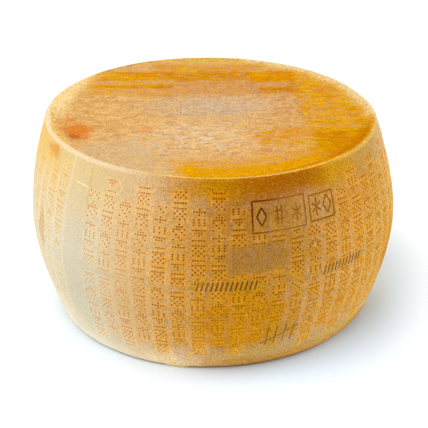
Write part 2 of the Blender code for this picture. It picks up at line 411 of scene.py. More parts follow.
def line_on_side(start, end, inward=0.0, steps=6):
    """Points of a line on the side between two (degrees, height) places."""
    places = []
    for i in range(steps + 1):
        degrees, z = [first + (last - first) * (i / steps) for first, last in zip(start, end)]
        places.append(side_place(degrees, z, inward))
    return places


def copy_round(bars, degrees):
    """Copies of some bars, each with its own mesh, turned about the wheel's axis."""
    copies = []
    for bar in bars:
        only(bar)
        bpy.ops.object.duplicate()
        twin = bpy.context.object
        twin.rotation_euler.z = math.radians(degrees)
        bpy.ops.object.transform_apply(rotation=True)
        copies.append(twin)
    return copies


def stamp_frame(bounds):
    """The four sides of one half of the stamp."""
    left, right, low, high = bounds
    corners = ((left, low), (right, low), (right, high), (left, high), (left, low))
    return [bar_through(line_on_side(*pair)) for pair in zip(corners, corners[1:])]


def device_stroke(start, end):
    """One stroke of a device at angle 0, between shares of its half width and half height."""
    wide = math.degrees(DEVICE_WIDTH / 2 / side_radius(DEVICE_MIDDLE))
    tall = DEVICE_HEIGHT / 2
    ends = [(across * wide, DEVICE_MIDDLE + up * tall) for across, up in (start, end)]
    return bar_through(line_on_side(*ends, steps=2))


def lozenge():
    """A tall diamond."""
    corners = ((0, 1), (1, 0), (0, -1), (-1, 0), (0, 1))
    return [device_stroke(*pair) for pair in zip(corners, corners[1:])]


def lattice():
    """Two uprights crossed by two level bars."""
    strokes = []
    for side in (-LATTICE_INSET, LATTICE_INSET):
        strokes.append(device_stroke((side, -1), (side, 1)))
        strokes.append(device_stroke((-1, side), (1, side)))
    return strokes


def star():
    """Three bars crossed at their middles."""
    return [device_stroke((-across, -up), (across, up)) for across, up in ((0, 1), (1, 0.5), (1, -0.5))]


def stamp():
    """Two frames and the five devices in them."""
    strokes = stamp_frame(FRAME_LEFT) + stamp_frame(FRAME_RIGHT)
    left_width = FRAME_LEFT[1] - FRAME_LEFT[0]
    right_width = FRAME_RIGHT[1] - FRAME_RIGHT[0]
    diamond = lozenge()
    rays = star()
    trellis = lattice()
    strokes += copy_round(diamond, FRAME_LEFT[0] + left_width / 6)
    strokes += copy_round(diamond, FRAME_RIGHT[1] - right_width * PAIR_INSET)
    strokes += copy_round(rays, FRAME_LEFT[1] - left_width / 6)
    strokes += copy_round(rays, FRAME_RIGHT[0] + right_width * PAIR_INSET)
    strokes += copy_round(trellis, FRAME_LEFT[0] + left_width / 2)
    for guide in diamond + rays + trellis:
        bpy.data.objects.remove(guide)
    return strokes


def bar_rows():
    """Rows of short slanting bars round the middle of the wheel."""
    guide = bar_through(line_on_side((0, BAR_SPAN[0]), (BAR_SLANT, BAR_SPAN[1]), COLUMN_SINK, 2))
    strokes = []
    for start, count in BAR_ROWS:
        for i in range(count):
            strokes += copy_round([guide], start + i * BAR_PITCH)
    bpy.data.objects.remove(guide)
    return strokes


def tally():
    """Four strokes and one across them, scratched by hand."""
    strokes = []
    for degrees in TALLY_ANGLES:
        line = line_on_side((degrees, TALLY_SPAN[0]), (degrees + TALLY_SLANT, TALLY_SPAN[1]))
        strokes.append(bar_through(line))
    left, right, foot, head = TALLY_CROSS
    strokes.append(bar_through(line_on_side((left, foot), (right, head))))
    return strokes


def press_lines(thing):
    """Cut the grooves of the stamp, the bars and the tally out of the rind."""
    strokes = stamp() + bar_rows() + tally()
    cutters = bpy.data.collections.new("pressed_lines")
    for stroke in strokes:
        for _ in range(PRESSED_LINE + 1):
            stroke.data.materials.append(None)
        for face in stroke.data.polygons:
            face.material_index = PRESSED_LINE
        cutters.objects.link(stroke)
    only(thing)
    press = thing.modifiers.new("pressed_lines", "BOOLEAN")
    press.operation = "DIFFERENCE"
    press.operand_type = "COLLECTION"
    press.collection = cutters
    press.solver = "EXACT"
    bpy.ops.object.modifier_apply(modifier=press.name)
    for stroke in strokes:
        bpy.data.objects.remove(stroke)
    bpy.data.collections.remove(cutters)


def pin_cells():
    """Cells that a pin fell in, as (column, across, row), each with a random draw from 0 to 1."""
    draw = random.Random(PIN_SEED)
    cells = {}
    for index in range(COLUMN_COUNT):
        for row in column_rows(index):
            block, place = divmod(row - column_rows(index).start, len(CHECKER))
            motif = MOTIFS[(block + index * MOTIF_STEP) % len(MOTIFS)]
            for across in range(PINS_ACROSS):
                luck = draw.random()
                if motif[place][across] == "o" and row not in GAP_ROWS and luck > PINS_MISSED:
                    cells[index, across, row] = luck
    return cells


def note_pits(thing):
    """Note on the picked pits' points how deep they lie, from 1 in the middle to 0 in the open."""
    shape = bmesh.from_edit_mesh(thing.data)
    pressed = shape.verts.layers.float.get("pressed") or shape.verts.layers.float.new("pressed")
    edges = []
    for vertex in shape.verts:
        picked = [face.select for face in vertex.link_faces]
        if all(picked):
            vertex[pressed] = 1.0
        elif any(picked):
            vertex[pressed] = PIT_EDGE
            edges.append(vertex)
    for vertex in edges:
        for face in vertex.link_faces:
            for corner in face.verts:
                corner[pressed] = max(corner[pressed], PIT_RIM)
    bmesh.update_edit_mesh(thing.data)


def press_pins(thing):
    """Press a pit into every cell that a pin fell in, in three depths."""
    cells = pin_cells()
    whole_cell = WHOLE_CELL * PIN_RISE * math.radians(PIN_PITCH) * FOOT_RADIUS

    def pinned(low, high):
        def wanted(angle, z, face):
            index, offset = column_of(angle)
            across = round(offset / PIN_PITCH) + PINS_ACROSS // 2
            row = math.floor((z - PIN_FOOT) / PIN_RISE)
            luck = cells.get((index, across, row), -1.0)
            whole = len(face.verts) == 4 and face.calc_area() > whole_cell
            return low <= luck < high and whole and clear_of_marks(angle, z)
        return wanted

    edit()
    for low, high, wall, depth in PIT_KINDS:
        pick_faces(thing, pinned(low, high))
        bpy.ops.mesh.inset(thickness=wall, depth=0, use_individual=True)
        bpy.ops.mesh.poke(offset=-depth)
        note_pits(thing)
        bpy.ops.mesh.select_all(action="DESELECT")
    done()


def settle(thing):
    """Keep each point's place on the turned wheel for the materials, then move it to the uneven one."""
    turned = thing.data.attributes.new("turned", "FLOAT_VECTOR", "POINT")
    for vertex in thing.data.vertices:
        turned.data[vertex.index].vector = vertex.co
        vertex.co = settled(vertex.co)


def paint(red, green, blue):
    """A colour given as the screen shows it, from 0 to 255, made linear for the shader."""
    shares = [value / 255.0 for value in (red, green, blue)]
    return (*[s / 12.92 if s < 0.04045 else ((s + 0.055) / 1.055) ** 2.4 for s in shares], 1.0)


# Colours of the rind, as the screen shows them
CREAM = paint(199, 187, 161)
MILKY = paint(203, 192, 168)
STRAW = paint(205, 170, 122)
TAN = paint(198, 157, 107)
OCHRE = paint(178, 127, 62)
GOLD = paint(202, 160, 108)
HONEY = paint(188, 136, 60)
AMBER = paint(193, 130, 2)
STAIN = paint(204, 145, 16)
DARK_AMBER = paint(172, 99, 0)
BROWN = paint(152, 98, 32)
UMBER = paint(124, 66, 0)
PINK = paint(208, 160, 122)
PALE = paint(228, 200, 154)
# Pale colours of the painted highlights round the crest
CREST_HIGHLIGHT = paint(232, 188, 104)
LEFT_CREST_HIGHLIGHT = paint(216, 194, 160)
YELLOW = paint(208, 169, 82)
ORANGE = paint(196, 110, 30)
RUST = paint(168, 84, 26)
GREY = paint(176, 125, 66)
WHITISH = paint(232, 224, 200)
TOP_TAN = paint(193, 148, 86)
TOP_SAND = paint(189, 158, 114)
TOP_PALE = paint(200, 174, 138)
TOP_GREY = paint(182, 158, 130)
TOP_ROSE = paint(180, 130, 80)
TOP_PINK = paint(188, 134, 80)
TOP_YELLOW = paint(206, 165, 102)
TOP_GOLD = paint(199, 127, 0)
TOP_LEMON = paint(203, 146, 6)
TOP_BROWN = paint(172, 106, 0)
TOP_EDGE = paint(202, 158, 72)
TOP_RIM = paint(214, 184, 130)
TOP_CREAM = paint(224, 194, 134)
LINE_LIGHT = paint(172, 108, 34)
LINE_DARK = paint(120, 54, 12)
LINE_FAINT = paint(186, 126, 48)

# Tints that multiply the rind's colour
PIT_HALO = paint(255, 244, 206)
PIT_FAINT = paint(240, 198, 112)
PIT_PALE = paint(252, 190, 88)
PIT_ORANGE = paint(234, 160, 44)
PIT = paint(156, 102, 48)
PIT_AMBER = paint(182, 116, 46)
WHITE = (1.0, 1.0, 1.0, 1.0)
# The tint of the right side's painted shade, which makes it less red
SIDE_LIGHT = (0.90, 0.99, 1.05, 1.0)
GRAIN_WARM = (1.0, 0.92, 0.50, 1.0)
GRAIN_COOL = (1.0, 1.07, 1.49, 1.0)

# The floor's white, far from the wheel, and its painted shade close to it on its left and right
FLOOR_WHITE = (0.86, 0.93, 0.98, 1.0)
FLOOR_BRIGHT = (0.88, 0.94, 0.99, 1.0)
FLOOR_SHADE_LEFT = (0.81, 0.89, 0.98, 1.0)
FLOOR_SHADE_RIGHT = (0.67, 0.81, 0.97, 1.0)

# Where the side's colours give way to each other, in degrees of the look angle
CREAM_TO_MILKY = (-140, -150)
CREAM_TO_STRAW = (-134, -114)
STRAW_TO_TAN = (-117, -97)
TAN_TO_GOLD = (-70, -50)
GOLD_TO_TAN = (-5, 35)
BLOTCHES_BEGIN = (-120, -94)
STAINS_BEGIN = (-126, -92)
STAINS_BREAK_UP = (-76, -52)
FAINT_STAINS_BEGIN = (-140, -146)
ROUGH_BEGINS = (-128, -98)
COOLER_BEGINS = (-46, -24)
LEFT_PITS_BEGIN = (-101, -121)

# Where the looks of the left side turn into those of the right, and the angle that they then follow
LOOK_TURNS = (-186, -268)
LOOK_BEHIND = 40

# Stretch of the upper face's streaks, and its grey middle, in millimetres
STREAKS = (2.3, 1.0, 1.0)
GREY_MIDDLE = (4, 20)
GREY_REACH = (130, 60)

# Lines round the crest, pale painted highlights and dark amber lines: colour, share, and where they begin,
# end and how soft they are, first in degrees round the wheel, then in millimetres out and down over the
# crest
CREST_LINES = ((DARK_AMBER, 0.7, (-66, -15, 12), (-3.5, 0.5, 1.2)),
               (DARK_AMBER, 0.5, (-46, -12, 8), (-10, 1, 3)),
               (CREST_HIGHLIGHT, 0.7, (-125, -42, 12), (3.4, 5.4, 1)),
               (YELLOW, 0.7, (-46, -12, 8), (3.5, 9.5, 2.5)),
               (YELLOW, 0.6, (-184, -148, 6), (-4.5, 6, 3)),
               (LEFT_CREST_HIGHLIGHT, 0.75, (-192, -168, 5), (0, 5, 1.2)),
               (LEFT_CREST_HIGHLIGHT, 0.75, (-182, -118, 10), (3.5, 11, 2.5)))

# Millimetres from the axis to the outer edge of the flat upper face, less its height
CREST_START = (side_radius(HEIGHT - TOP_ROUNDING) - TOP_ROUNDING - HEIGHT) / MM


def new_material(name):
    """A new material, with its node tree and its Principled shader."""
    material = bpy.data.materials.new(name)
    material.use_nodes = True
    tree = material.node_tree
    return material, tree, tree.nodes["Principled BSDF"]


def node_for(kind, *values):
    """A new node of one kind, in the tree that the values come from."""
    tree = next(value.id_data for value in values if isinstance(value, bpy.types.NodeSocket))
    return tree.nodes.new(kind)


def feed(socket, value):
    """Wire a node's output to a socket, or set the socket to a plain value."""
    if isinstance(value, bpy.types.NodeSocket):
        socket.id_data.links.new(value, socket)
    else:
        socket.default_value = value


def maths(operation, first, second=0.0):
    """One sum on one or two numbers."""
    node = node_for("ShaderNodeMath", first, second)
    node.operation = operation
    feed(node.inputs[0], first)
    feed(node.inputs[1], second)
    return node.outputs[0]


def carried(operation, values):
    """One sum carried through several numbers."""
    result = values[0]
    for value in values[1:]:
        result = maths(operation, result, value)
    return result


def times(*values):
    """The product of several numbers."""
    return carried("MULTIPLY", values)


def plus(*values):
    """The total of several numbers."""
    return carried("ADD", values)


def less(*values):
    """A number less the others."""
    return carried("SUBTRACT", values)


def most(*values):
    """The largest of several numbers."""
    return carried("MAXIMUM", values)


def vector_maths(operation, vector, other):
    """One sum on two vectors, or on a vector and a number."""
    node = node_for("ShaderNodeVectorMath", vector, other)
    node.operation = operation
    feed(node.inputs[0], vector)
    feed(node.inputs["Scale"] if operation == "SCALE" else node.inputs[1], other)
    return node.outputs["Vector"]


def moved(place, *shift):
    """A place moved, so that the same noise looks different there."""
    return vector_maths("ADD", place, shift)


def shaded(colour, amount):
    """A colour made lighter or darker."""
    return vector_maths("SCALE", colour, amount)


def tinted(colour, tint):
    """A colour multiplied by a tint."""
    return vector_maths("MULTIPLY", colour, tint)


def distance(place):
    """How far a place is from the origin."""
    node = node_for("ShaderNodeVectorMath", place)
    node.operation = "LENGTH"
    feed(node.inputs[0], place)
    return node.outputs["Value"]


def joined(x, y):
    """Two numbers as one flat place."""
    node = node_for("ShaderNodeCombineXYZ", x)
    feed(node.inputs[0], x)
    feed(node.inputs[1], y)
    return node.outputs[0]


def parted(place, count=2):
    """The first numbers of a place."""
    node = node_for("ShaderNodeSeparateXYZ", place)
    feed(node.inputs[0], place)
    return node.outputs[:count]


def rise(value, start, end):
    """0 before start and 1 past end, smooth between them; start may be the higher."""
    node = node_for("ShaderNodeMapRange", value)
    node.interpolation_type = "SMOOTHSTEP"
    feed(node.inputs["Value"], value)
    feed(node.inputs["From Min"], start)
    feed(node.inputs["From Max"], end)
    return node.outputs["Result"]


def between(value, low, high, soft):
    """1 from low to high, fading out over a soft edge on both sides."""
    return times(rise(value, low - soft, low + soft), rise(value, high + soft, high - soft))


def clouds(place, width, detail=2, stretch=(1, 1, 1)):
    """A noise texture with swells of this width, in the place's own units."""
    mapping = node_for("ShaderNodeMapping", place)
    mapping.inputs["Scale"].default_value = [1 / (width * share) for share in stretch]
    feed(mapping.inputs["Vector"], place)
    node = node_for("ShaderNodeTexNoise", place)
    node.inputs["Scale"].default_value = 1
    node.inputs["Detail"].default_value = detail
    feed(node.inputs["Vector"], mapping.outputs["Vector"])
    return node


def noise(place, *sizes):
    """Cloudy noise as a number, mostly from 0.3 to 0.7."""
    return clouds(place, *sizes).outputs["Fac"]


def wandering(place, flat, width, reach):
    """A flat field whose points wander, so that the edges of stains do too."""
    shift = vector_maths("SUBTRACT", clouds(place, width).outputs["Color"], (0.5, 0.5, 0.5))
    shift = vector_maths("MULTIPLY", shift, (*[2 * value for value in reach], 0))
    return vector_maths("ADD", flat, shift)


def patch(place, middle, reach, soft=0.6):
    """1 in an oval patch, fading to 0 at its edge."""
    mapping = node_for("ShaderNodeMapping", place)
    mapping.vector_type = "TEXTURE"
    mapping.inputs["Location"].default_value = (*middle, 0)
    mapping.inputs["Scale"].default_value = (*reach, 1)
    feed(mapping.inputs["Vector"], place)
    return rise(distance(mapping.outputs["Vector"]), 1, 1 - soft)


def layer(under, over, *amounts):
    """One colour laid over another, by the product of the amounts."""
    amount = times(*amounts)
    node = node_for("ShaderNodeMix", amount)
    node.data_type = "RGBA"
    feed(node.inputs["Factor"], amount)
    feed(node.inputs[6], under)
    feed(node.inputs[7], over)
    return node.outputs[2]


def stain(under, over, amount, place, middle, reach, soft=0.6):
    """An oval stain of one colour laid over another."""
    return layer(under, over, patch(place, middle, reach, soft), amount)


def noted(tree, name):
    """What the mesh's points note under a name."""
    attribute = tree.nodes.new("ShaderNodeAttribute")
    attribute.attribute_name = name
    return attribute.outputs


def turned_place(tree):
    """Where a point was on the turned wheel, in millimetres."""
    return vector_maths("SCALE", noted(tree, "turned")["Vector"], 1 / MM)


def round_and_up(place):
    """Angle in degrees, with the front at -90 and the seam at the back, height and radius."""
    x, y, height = parted(place, 3)
    turn = maths("ARCTAN2", x, times(y, -1))
    return less(maths("DEGREES", turn), 90), height, distance(joined(x, y))


def look_angle(angle):
    """The angle that colours follow: behind the left side they become those of the right side."""
    behind = rise(angle, *LOOK_TURNS)
    return plus(angle, times(less(LOOK_BEHIND, angle), behind))


def column_share(angle, height):
    """1 in the columns of pins and 0 between them."""
    left = maths("LESS_THAN", angle, (FIRST_COLUMN + LAST_COLUMN - 360) / 2)
    start = plus(times(left, LAST_COLUMN - 360 - FIRST_COLUMN), FIRST_COLUMN)
    count = maths("DIVIDE", less(angle, start), COLUMN_PITCH)
    phase = maths("FRACT", plus(count, 0.5))
    offset = maths("ABSOLUTE", less(phase, 0.5))
    parity = maths("COSINE", times(count, math.pi))
    half_step = (TALL_ROWS.start - SHORT_ROWS.start) * PIN_RISE / MM / 2
    side = plus(times(left, -2 * half_step), half_step)
    level = plus(height, times(parity, side))
    low = PIN_FOOT / MM + half_step
    high = low + len(TALL_ROWS) * PIN_RISE / MM
    strip = between(angle, *STRIP_ANGLES, 0.2)
    inside = times(rise(offset, 0.43, 0.33), between(level, low, high, 3))
    return times(inside, less(1, strip))


# Places on the side are (angle, height) and those on the upper face (x, y), in degrees and in
# millimetres of the turned wheel. The share of a colour that is laid over another is 0 to 1.


def side_base(place, spot, look, high):
    """The side before its stains: cream on the left, ochre in front, gold on the right."""
    milky = times(rise(look, *CREAM_TO_MILKY), rise(high, 190, 100))
    honey = times(rise(high, 125, 195), rise(look, -12, -32), 0.85)
    cloudy = rise(noise(place, 34, 3, (1, 1, 1.8)), 0.40, 0.60)
    colour = layer(CREAM, MILKY, milky)
    colour = layer(colour, YELLOW, rise(high, 130, 240), 0.55)
    colour = layer(colour, STRAW, rise(look, *CREAM_TO_STRAW))
    colour = layer(colour, TAN, rise(look, *STRAW_TO_TAN))
    colour = stain(colour, OCHRE, 0.95, spot, (-80, 172), (32, 98), 0.7)
    colour = layer(colour, layer(GOLD, HONEY, honey), rise(look, *TAN_TO_GOLD))
    return layer(colour, TAN, rise(look, *GOLD_TO_TAN), cloudy)


def front_stains(place, spot, look, high, colour):
    """Amber and brown stains in front and on the right, a belt round the middle, and blotches."""
    blotch = noise(place, 8, 3, (1, 1, 1.5))
    reach = rise(look, *BLOTCHES_BEGIN)
    belt = between(high, 112, 152, 14)
    colour = stain(colour, AMBER, 0.9, spot, (-81, 75), (21, 72))
    colour = stain(colour, BROWN, 0.5, spot, (-78, 205), (19, 38))
    colour = stain(colour, BROWN, 0.22, spot, (-88, 66), (7, 44))
    colour = stain(colour, AMBER, 0.6, spot, (-17, 100), (7, 42))
    colour = stain(colour, DARK_AMBER, 0.5, spot, (-17, 86), (8, 38))
    colour = layer(colour, AMBER, reach, belt, 0.16)
    colour = layer(colour, PINK, reach, rise(blotch, 0.52, 0.38), 0.22)
    return layer(colour, AMBER, reach, rise(blotch, 0.52, 0.66), 0.22)


def stained_columns(columns, speck, look, high, colour):
    """Amber in the columns, patchy on the right and faint on the far left."""
    patchy = plus(speck, times(rise(look, *STAINS_BREAK_UP), less(speck, 0.52)))
    strong = times(rise(look, *STAINS_BEGIN), rise(high, 275, 105))
    strong = times(strong, rise(patchy, 0.20, 0.62))
    colour = layer(colour, STAIN, columns, strong, 0.8)
    faint = times(rise(look, *FAINT_STAINS_BEGIN), rise(high, 60, 190))
    faint = times(faint, rise(speck, 0.40, 0.60))
    return layer(colour, STAIN, columns, faint, 0.17)


def left_marks(angle, height, spot, look, high, colour):
    """Stains, seams and scratches of the pale left side."""
    far_left = times(rise(high, 190, 226), rise(look, -144, -156))
    colour = layer(colour, YELLOW, far_left, 0.6)
    colour = stain(colour, ORANGE, 0.5, spot, (-156, 229), (6, 9))
    colour = stain(colour, HONEY, 0.45, spot, (-157, 132), (4, 34))
    colour = layer(colour, WHITISH, between(angle, -142.5, -141.8, 0.2), 0.2)
    seam = between(angle, -133.2, -132.8, 0.25)
    seam = times(seam, between(height, 182, 234, 4))
    colour = layer(colour, HONEY, seam, 0.45)
    slope = plus(height, times(angle, 0.18))
    scratch = between(slope, 186.4, 187.2, 0.5)
    scratch = times(scratch, between(angle, -139.5, -133.5, 1.5))
    return layer(colour, WHITISH, scratch, 0.8)


def plaque_and_painted_right_shade(flat, wide, look, high, colour):
    """The greyer plaque, a duller band round it, painted shade that makes the right side cooler, and its
    pale edge.
    """
    colour = stain(colour, GREY, 0.6, flat, (-78, 152), (13, 20), 0.5)
    dull = between(high, 136, 172, 10)
    dull = times(dull, between(look, -92, -54, 6), 0.09)
    colour = shaded(colour, less(1, dull))
    # Painted shade: the right side, strongly lit by the right lamp, is tinted cooler and less red
    colour = tinted(colour, layer(WHITE, SIDE_LIGHT, rise(look, *COOLER_BEGINS)))
    return layer(colour, PALE, between(wide, -9, 12, 7), 0.35)


def rim_stain_and_shadow(place, wide, high, colour):
    """The amber band under the crest, partly stain and partly painted shadow, with light and dark grit in
    it.
    """
    rim = times(rise(wide, -114, -90), rise(wide, -30, -50))
    rim = times(rise(high, 206, 228), rim)
    dark = times(rise(wide, -94, -74), rise(wide, -48, -62))
    warm = layer(AMBER, STAIN, rise(wide, -84, -56))
    grit = noise(place, 2, 2)
    # Partly stain and partly painted shadow under the crest
    colour = layer(colour, layer(warm, DARK_AMBER, dark), rim)
    colour = layer(colour, OCHRE, rim, rise(grit, 0.54, 0.68), 0.5)
    return layer(colour, UMBER, rim, rise(grit, 0.44, 0.32), 0.5)


def foot_bands(look, high, colour):
    """The pale foot on the left, its yellow and amber bands in front, and painted light from the floor on
    it.
    """
    left = times(rise(high, 38, 12), rise(look, -84, -104))
    pale = layer(PALE, MILKY, rise(look, -104, -124))
    colour = layer(colour, pale, left, 0.75)
    upper = times(between(high, 12, 30, 8), rise(look, -104, -84))
    colour = layer(colour, YELLOW, upper, 0.5)
    lower = times(rise(high, 20, 8), rise(look, -100, -80))
    colour = layer(colour, AMBER, lower, 0.6)
    # Painted light from the floor: the lower side made lighter, and its bottom edge more so
    front = times(between(look, -66, -38, 8), 0.16)
    edge = plus(times(rise(look, -28, -48), 0.18), front)
    edge = times(rise(high, 22, 6), edge)
    return shaded(colour, plus(1, times(rise(high, 84, 6), 0.22), edge))


def side_colour(place, angle, height, speck):
    """The whole side, stained in the columns."""
    flat = wandering(place, joined(angle, height), 28, (4, 11))
    spot = wandering(place, flat, 6, (1, 3))
    wide, high = parted(spot)
    look = look_angle(wide)
    shift = times(less(noise(place, 13, 3), 0.5), 5)
    columns = column_share(plus(angle, shift), height)
    colour = side_base(place, spot, look, high)
    colour = front_stains(place, spot, look, high, colour)
    colour = stained_columns(columns, speck, look, high, colour)
    colour = left_marks(angle, height, spot, look, high, colour)
    colour = plaque_and_painted_right_shade(flat, wide, look, high, colour)
    colour = rim_stain_and_shadow(place, wide, high, colour)
    return foot_bands(look, high, colour)


def inside_box(x, y, box, soft):
    """1 inside a box of (left, right, front, back), with soft edges."""
    left, right, front, back = box
    return times(between(x, left, right, soft), between(y, front, back, soft))


def gold_share(x, y, radius):
    """How golden the upper face is: bands at the back, the right side and the front edge."""

    def band(left, right, front, back, soft, amount=1):
        return times(inside_box(x, y, (left, right, front, back), soft), amount)

    right = times(rise(x, 98, 114), 0.66)
    outer = rise(x, -66, -22)
    return most(band(-185, -58, 105, 140, 8),
                band(-62, 50, 104, 142, 9, 0.8),
                band(46, 112, 101, 141, 8, 1.05),
                band(-72, 72, 138, 168, 9, 0.58),
                band(-165, -45, 79, 94, 5),
                band(-165, -45, 55, 104, 6, 0.45),
                band(-100, -50, 52, 59, 3, 0.75),
                band(-45, 108, 56, 104, 9, 0.30),
                band(58, 108, 60, 84, 8, 0.85),
                band(42, 120, -104, -48, 13, 0.62),
                band(164, 200, -48, -14, 7, 0.95),
                band(100, 146, 42, 130, 9, 0.78),
                plus(right, times(rise(x, 124, 146), 0.13)),
                times(rise(x, 106, 122), rise(y, -42, -58), 1.15),
                times(rise(radius, 150, 174), rise(y, -90, -120), outer, 1.1),
                times(rise(radius, 134, 154), rise(y, -80, -120), outer, 0.6))


def calm_share(x, y):
    """1 on the smooth front left part of the upper face."""
    return inside_box(x, y, (-150, -66, -200, -92), 18)


def upper_base(spot, x, y, grey):
    """The upper face before its gold: tan on the left, pale and grey in the middle, rosy behind."""
    low_left = times(rise(y, -62, -104), rise(x, 0, -70))
    rosy = most(inside_box(x, y, (74, 112, -10, 60), 9),
                inside_box(x, y, (-48, 112, 54, 104), 9))
    colour = layer(TOP_TAN, TOP_SAND, low_left)
    colour = stain(colour, TOP_PALE, 1, spot, (-15, -72), (122, 82), 0.9)
    colour = layer(colour, TOP_GREY, grey, 0.95)
    return layer(colour, TOP_ROSE, rosy, 0.85)


def upper_grains(x, y, grey, pinks, yellows, colour):
    """Pink and yellow grains, fewer in the calm front left part and in the grey middle."""
    quiet = most(times(calm_share(x, y), 0.6), times(grey, 0.5))
    lively = less(1, quiet)
    colour = layer(colour, TOP_PINK, rise(pinks, 0.46, 0.60), lively, 0.8)
    return layer(colour, TOP_YELLOW, rise(yellows, 0.46, 0.60), lively, 0.8)


def gold_amount(x, y, radius, grey, flecks):
    """Where the gold lies, broken up into flecks, and less of it on the left and in the grey middle."""
    plain = inside_box(x, y, (-230, -92, -200, 46), 26)
    gold = less(plus(gold_share(x, y, radius), flecks), 1.9)
    gold = less(gold, plus(times(plain, 0.4), times(grey, 0.25)))
    return rise(gold, 0.10, 0.98)


def gold_colour(x, y, pinks, broad):
    """Deep gold, lemon in places and at the front, brown behind and at the lower right."""
    sides = plus(rise(x, -85, -120), rise(x, 104, 116))
    lemon = rise(plus(broad, times(sides, 0.10)), 0.48, 0.62)
    front = times(rise(y, -110, -140), 0.6)
    dark = plus(inside_box(x, y, (40, 112, 60, 100), 9),
                times(inside_box(x, y, (118, 185, -132, -56), 16), 0.6),
                times(inside_box(x, y, (-62, 50, 56, 142), 9), 0.6))
    brown = plus(times(rise(pinks, 0.46, 0.62), 0.4), times(dark, 0.55))
    brown = times(brown, less(1, front))
    golds = layer(TOP_GOLD, TOP_LEMON, most(lemon, front))
    return layer(golds, TOP_BROWN, maths("MINIMUM", brown, 0.85))


def upper_edge(x, y, radius, pinks, broad, colour):
    """The paler edge of the upper face, behind, on the right and on the left."""
    behind = times(rise(y, 158, 178), rise(x, 84, 52), rise(x, -90, -60))
    colour = layer(colour, TOP_EDGE, behind, rise(pinks, 0.36, 0.56))
    reach = plus(radius, times(less(broad, 0.5), 26))
    right = times(rise(x, 32, 62), rise(y, -30, 5))
    colour = layer(colour, TOP_EDGE, right, rise(reach, 167, 183), 0.8)
    colour = layer(colour, TOP_RIM, right, rise(reach, 177, 189), 0.9)
    left = times(rise(x, -122, -156), rise(y, -35, 15))
    return layer(colour, TOP_CREAM, left, rise(reach, 160, 188), 0.9)


def upper_spots(spot, fleck, colour):
    """The few burnt spots of the upper face."""
    grainy = rise(fleck, 0.30, 0.50)
    colour = stain(colour, ORANGE, 0.36, spot, (-167, -34), (18, 40), 0.8)
    colour = stain(colour, ORANGE, times(grainy, 0.95), spot, (-155, -58), (21, 38))
    colour = stain(colour, RUST, 0.8, spot, (-162, -72), (7, 9))
    colour = stain(colour, ORANGE, times(grainy, 0.8), spot, (140, -122), (11, 10))
    colour = stain(colour, ORANGE, times(grainy, 0.35), spot, (54, -120), (18, 12))
    return stain(colour, ORANGE, times(grainy, 0.4), spot, (-80, -55), (18, 14))


def upper_colour(place, radius, fleck):
    """The whole upper face."""
    flat = wandering(place, joined(*parted(place)), 34, (15, 7))
    spot = wandering(place, flat, 9, (6, 3))
    x, y = parted(spot)
    grey = patch(spot, GREY_MIDDLE, GREY_REACH, 0.8)
    pinks = noise(place, 6, 4, STREAKS)
    yellows = noise(moved(place, 500, 0, 0), 5.5, 4, STREAKS)
    broad = noise(moved(place, 0, 500, 0), 20, 4, (2, 1, 1))
    flecks = plus(times(fleck, 1.7), times(yellows, 2.1))
    colour = upper_base(spot, x, y, grey)
    colour = upper_grains(x, y, grey, pinks, yellows, colour)
    golds = gold_colour(x, y, pinks, broad)
    colour = layer(colour, golds, gold_amount(x, y, radius, grey, flecks))
    colour = upper_edge(x, y, radius, pinks, broad, colour)
    return upper_spots(spot, fleck, colour)


def crest_lines(angle, rim, colour):
    """Painted highlights round the crest, wide on the left, narrow elsewhere; dark amber lines inside it on
    the right.
    """
    for over, share, sector, width in CREST_LINES:
        # The pale lines are painted highlights on the crest; the dark amber ones are darker lines just
        # inside it
        colour = layer(colour, over, between(angle, *sector), between(rim, *width), share)
    return colour


def grain_tone(place, face, rough, fleck):
    """How light each grain is, about 1: strongest on the upper face and weakest on the left side."""
    smooth = times(calm_share(*parted(place)), face, 0.5)
    amount = plus(times(rough, 0.6), 0.4, times(face, 0.25))
    amount = less(amount, smooth)
    tone = times(noise(place, 1.7, 2), less(1.4, times(face, 0.3)))
    tone = plus(tone, times(fleck, face, 0.6))
    tone = less(tone, 0.7, times(face, 0.15))
    return plus(1, times(tone, amount))


def grain_tint(place, face, rough):
    """Warm and cool grains, fainter on the upper face."""
    hue = rise(noise(moved(place, 0, 0, 700), 2.1, 2), 0.37, 0.63)
    even = less(rough, times(face, 0.7))
    return layer(WHITE, layer(GRAIN_WARM, GRAIN_COOL, hue), even)


def pit_tone(look, pressed):
    """How much lighter the rind is at the pits, as their own shade is too dark for it."""
    left = rise(look, *LEFT_PITS_BEGIN)
    rim = times(rise(pressed, 0, PIT_RIM), less(PIT_GLOW, times(left, PIT_GLOW / 2)))
    return plus(rim, times(rise(pressed, PIT_RIM, 0.9), left, 0.06))


def rind_colour(place, angle, look, height, radius, pressed):
    """The whole rind, with the painted highlights round its crest and a fine grain."""
    speck = noise(place, 4.6, 3)
    fleck = noise(place, 3.4, 3, (1, 1.4, 1))
    rim = less(radius, height, CREST_START)
    face = times(rise(height, 200, 225), rise(rim, 6, 3.5))
    side = side_colour(place, angle, height, speck)
    colour = layer(side, upper_colour(place, radius, fleck), face)
    colour = crest_lines(angle, rim, colour)
    rough = most(face, rise(look, *ROUGH_BEGINS))
    tone = plus(grain_tone(place, face, rough, fleck), pit_tone(look, pressed))
    return shaded(tinted(colour, grain_tint(place, face, rough)), tone)


